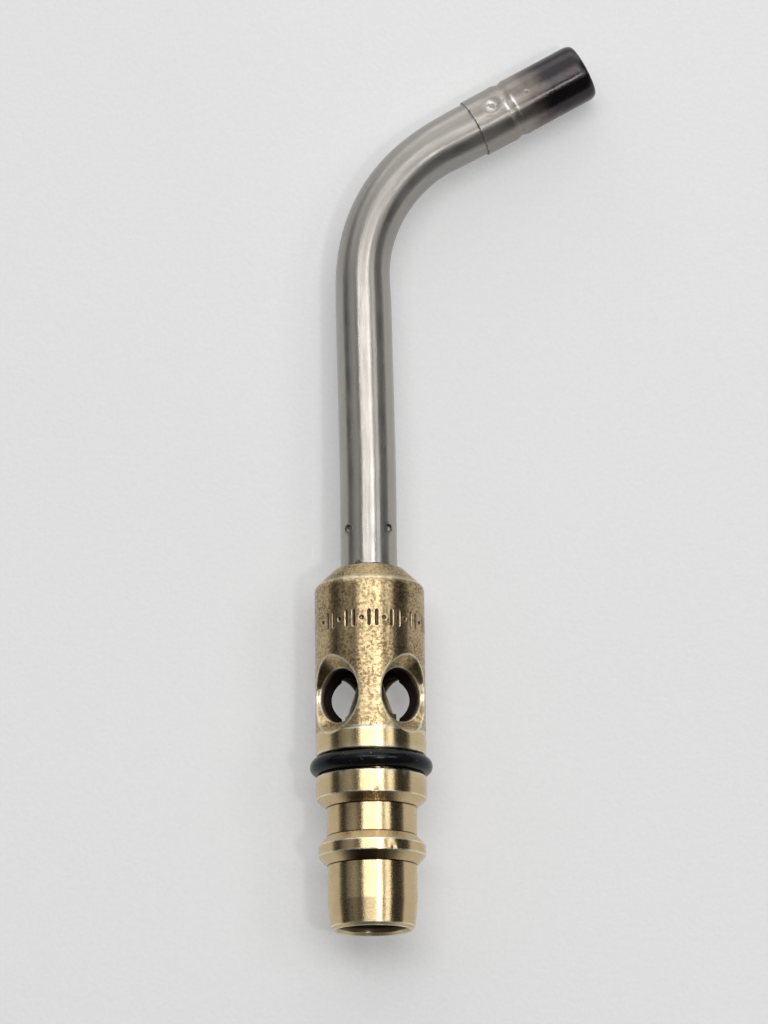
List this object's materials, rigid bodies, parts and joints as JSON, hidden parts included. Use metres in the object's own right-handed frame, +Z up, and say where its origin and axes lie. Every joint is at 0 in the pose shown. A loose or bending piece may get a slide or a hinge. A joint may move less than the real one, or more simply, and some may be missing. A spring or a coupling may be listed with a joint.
{
  "type": "air-acetylene torch tip",
  "caption": "Quick-connect swirl tip for an air-acetylene hand torch: brass barrel with air ports, O-ring, bent steel neck and flame tube.",
  "frame": {"origin": "centre of the gas inlet at the face of the nose; the stated inlet mount lies 0.45 mm inside it, just past the mouth's chamfer", "axes": "+Y up the barrel's axis from the inlet towards the flame, the neck bends towards +X, +Z up with the tip lying on its side"},
  "size_m": [0.0431, 0.1314, 0.0176],
  "materials": {
    "barrel_brass": "turned, lightly tarnished",
    "o_ring_nitrile": "satin, lightly greased",
    "sintered_bronze": "porous",
    "spring_steel": "plain",
    "jet_brass": "turned, sooty",
    "venturi_brass": "turned",
    "neck_stainless": "drawn tube, lightly scratched",
    "silver_braze": "dull",
    "flame_stainless": "heat-blackened at the mouth",
    "swirler_steel": "sooty"
  },
  "bodies": {
    "root": {"barrel": "barrel_brass", "inlet_o_ring": "o_ring_nitrile", "gas_filter": "sintered_bronze", "filter_retainer": "spring_steel", "gas_jet": "jet_brass", "venturi_insert": "venturi_brass", "neck_tube": "neck_stainless", "braze_ring": "silver_braze", "flame_tube": "flame_stainless", "swirler": "swirler_steel"}
  },
  "joints": []
}
